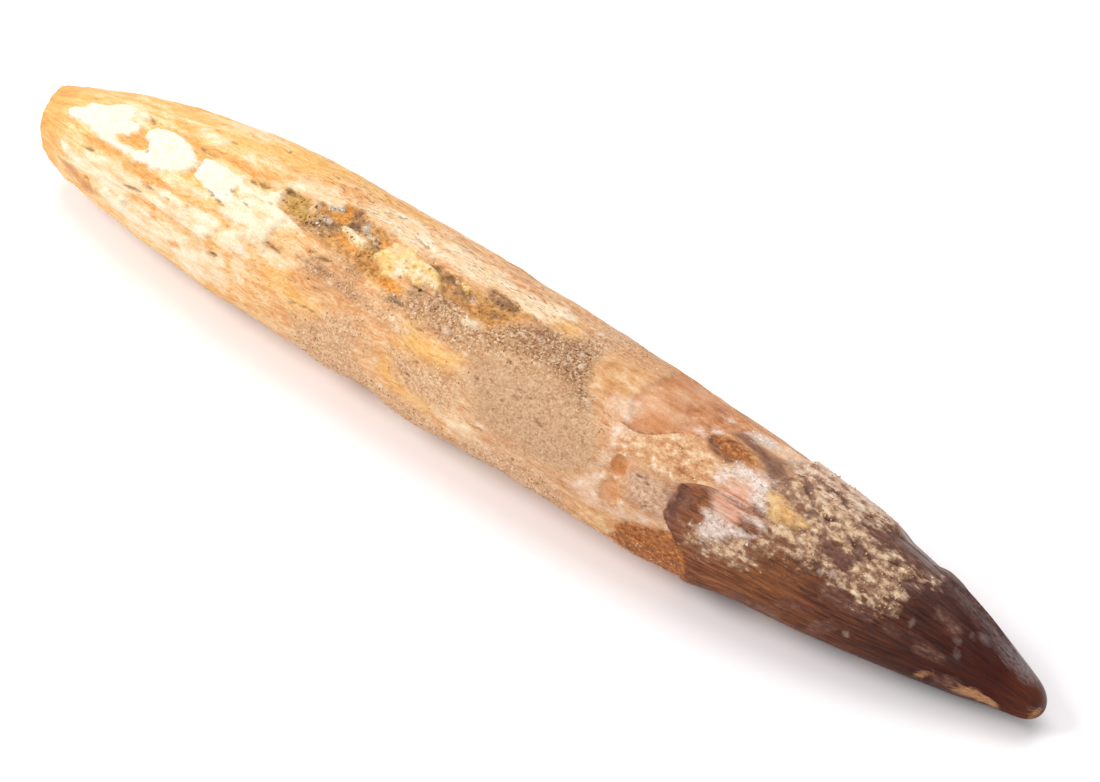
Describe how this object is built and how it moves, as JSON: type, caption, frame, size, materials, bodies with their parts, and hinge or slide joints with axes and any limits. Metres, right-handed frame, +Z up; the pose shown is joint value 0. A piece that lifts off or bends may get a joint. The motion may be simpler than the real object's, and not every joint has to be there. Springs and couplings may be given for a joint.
{
  "type": "fossil spinosaurus tooth",
  "caption": "Slender fossil dinosaur tooth with a brown fluted enamel crown and a long tan petrified root with set sand and chalky crusts, lying on its belly.",
  "frame": {"origin": "middle of the bounding box, on the surface the tooth lies on", "axes": "+X along the tooth from the broken root end to the crown tip, +Y across it, +Z up"},
  "size_m": [0.1258, 0.02, 0.017],
  "materials": {
    "fossil_tooth": "dry tan petrified dentine with set sand on the root, half-gloss dark brown enamel on the crown"
  },
  "bodies": {
    "root": {"tooth": "fossil_tooth"}
  },
  "joints": []
}
